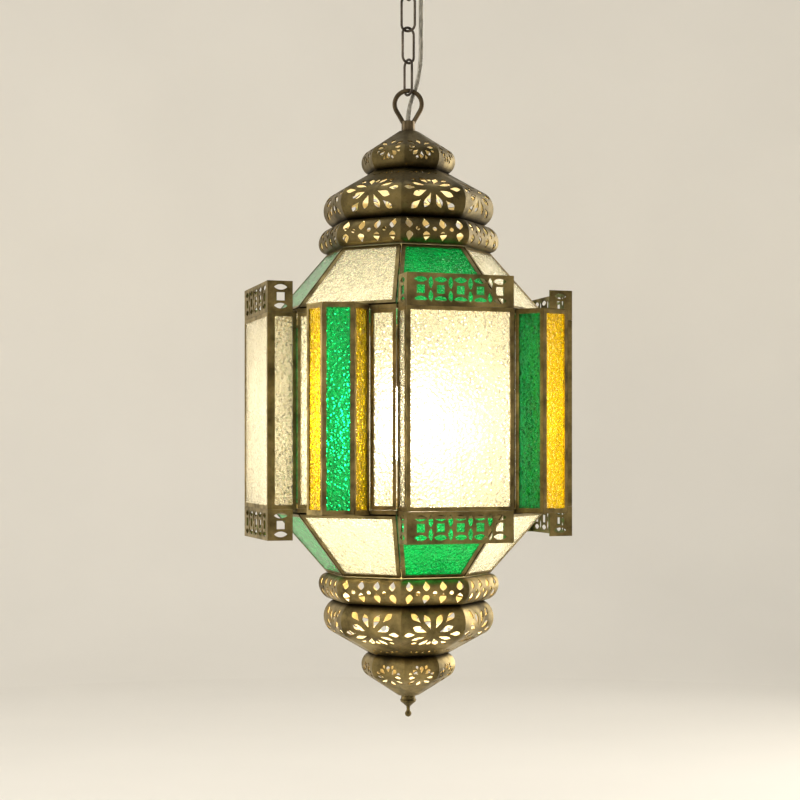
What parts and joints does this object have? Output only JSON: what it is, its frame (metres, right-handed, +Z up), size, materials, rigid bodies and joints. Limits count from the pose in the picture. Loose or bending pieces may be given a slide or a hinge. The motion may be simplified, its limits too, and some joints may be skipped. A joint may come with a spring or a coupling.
{
  "type": "hanging lantern",
  "caption": "Eight-sided stained-glass hanging lantern with box and bay sides, pierced brass tops, chain, canopy, bulb and a hinged side door.",
  "frame": {"origin": "middle of the two ceiling screw holes, on the ceiling's surface", "axes": "+Z up; -Y out of the glass box opposite the door, +X out of the box on its right, +Y out of the door's box"},
  "size_m": [0.2954, 0.299, 0.7392],
  "materials": {
    "steel": "zinc-plated steel",
    "canopy_bronze": "dark antique bronze, worn brighter on edges",
    "chain_steel": "aged plated steel wire",
    "black_plastic": "moulded plastic",
    "clear_cord": "translucent grey lamp cord",
    "bakelite": "dark moulded lamp holder",
    "bulb_cap_metal": "screw cap",
    "bulb_glass": "frosted glass, lit warm white",
    "pierced_bronze": "pierced antique brass sheet, darkened",
    "pierced_brass": "pierced antique brass sheet",
    "came_brass": "antique brass came with dark solder lines",
    "clear_glass": "pebbled clear glass",
    "green_glass": "pebbled green glass",
    "yellow_glass": "pebbled amber glass"
  },
  "bodies": {
    "ceiling": {"mounting_bracket": "steel", "ceiling_canopy": "canopy_bronze", "canopy_hook": "canopy_bronze", "hook_nut": "steel", "cord_bush": "black_plastic", "supply_cord_top": "clear_cord"},
    "link_upper": {"chain_link_upper": "chain_steel", "supply_cord_upper": "clear_cord"},
    "link_middle": {"chain_link_middle": "chain_steel", "supply_cord_lower": "clear_cord"},
    "link_lower": {"chain_link_lower": "chain_steel"},
    "lantern": {"hanging_ring": "canopy_bronze", "support_tube": "steel", "lock_nuts": "came_brass", "lamp_holder": "bakelite", "supply_cord_neck": "clear_cord", "upper_cap": "pierced_bronze", "upper_dome": "pierced_bronze", "upper_roll": "pierced_bronze", "lower_roll": "pierced_brass", "lower_dome": "pierced_brass", "lower_cap": "pierced_brass", "finial": "canopy_bronze", "upper_roof_frame": "came_brass", "lower_roof_frame": "came_brass", "upper_roof_clear_glass": "clear_glass", "upper_roof_green_glass": "green_glass", "lower_roof_clear_glass": "clear_glass", "lower_roof_green_glass": "green_glass", "upper_rim": "came_brass", "lower_rim": "came_brass", "upper_cover_plates": "pierced_brass", "lower_cover_plates": "pierced_brass", "upper_galleries": "pierced_brass", "lower_galleries": "pierced_brass", "front_box_frames": "came_brass", "right_box_frames": "came_brass", "rear_box_frames": "came_brass", "left_box_frames": "came_brass", "front_box_glass": "clear_glass", "right_box_glass": "clear_glass", "rear_box_glass": "clear_glass", "left_box_glass": "clear_glass", "front_right_bay_frames": "came_brass", "rear_right_bay_frames": "came_brass", "rear_left_bay_frames": "came_brass", "front_left_bay_frames": "came_brass", "strip_glass": "clear_glass", "bay_green_glass": "green_glass", "bay_yellow_glass": "yellow_glass", "door_hinges": "came_brass", "latch_keeper": "came_brass"},
    "bulb": {"bulb_cap": "bulb_cap_metal", "bulb_glass": "bulb_glass"},
    "door": {"door_frame": "came_brass", "door_glass": "clear_glass"},
    "latch": {"latch_arm": "canopy_bronze"}
  },
  "joints": [
    {"name": "hook_swing", "type": "hinge", "parent": "ceiling", "child": "link_upper", "pos_m": [0, 0, -0.058], "axis": [0.6428, 0.766, 0], "range_deg": [-25, 25], "deforming": ["supply_cord_top"]},
    {"name": "upper_link_swing", "type": "hinge", "parent": "link_upper", "child": "link_middle", "pos_m": [0, 0, -0.0881], "axis": [0.866, -0.5, 0], "range_deg": [-22, 22], "deforming": ["supply_cord_upper"]},
    {"name": "middle_link_swing", "type": "hinge", "parent": "link_middle", "child": "link_lower", "pos_m": [0, 0, -0.1185], "axis": [0.9563, 0.2924, 0], "range_deg": [-25, 25], "deforming": ["supply_cord_lower"]},
    {"name": "ring_swing", "type": "hinge", "parent": "link_lower", "child": "lantern", "pos_m": [0, 0, -0.1489], "axis": [0.2588, -0.9659, 0], "range_deg": [-15, 15], "deforming": ["supply_cord_neck"]},
    {"name": "bulb_out", "type": "slide", "parent": "lantern", "child": "bulb", "axis": [0, 0, -1], "range_m": [0, 0.04]},
    {"name": "door_swing", "type": "hinge", "parent": "lantern", "child": "door", "pos_m": [0.0506, 0.14946, -0.45118], "axis": [0, 0, -1], "range_deg": [0, 110]},
    {"name": "latch_turn", "type": "hinge", "parent": "door", "child": "latch", "pos_m": [-0.0425, 0.14916, -0.45118], "axis": [0, 1, 0], "range_deg": [-90, 90]}
  ]
}
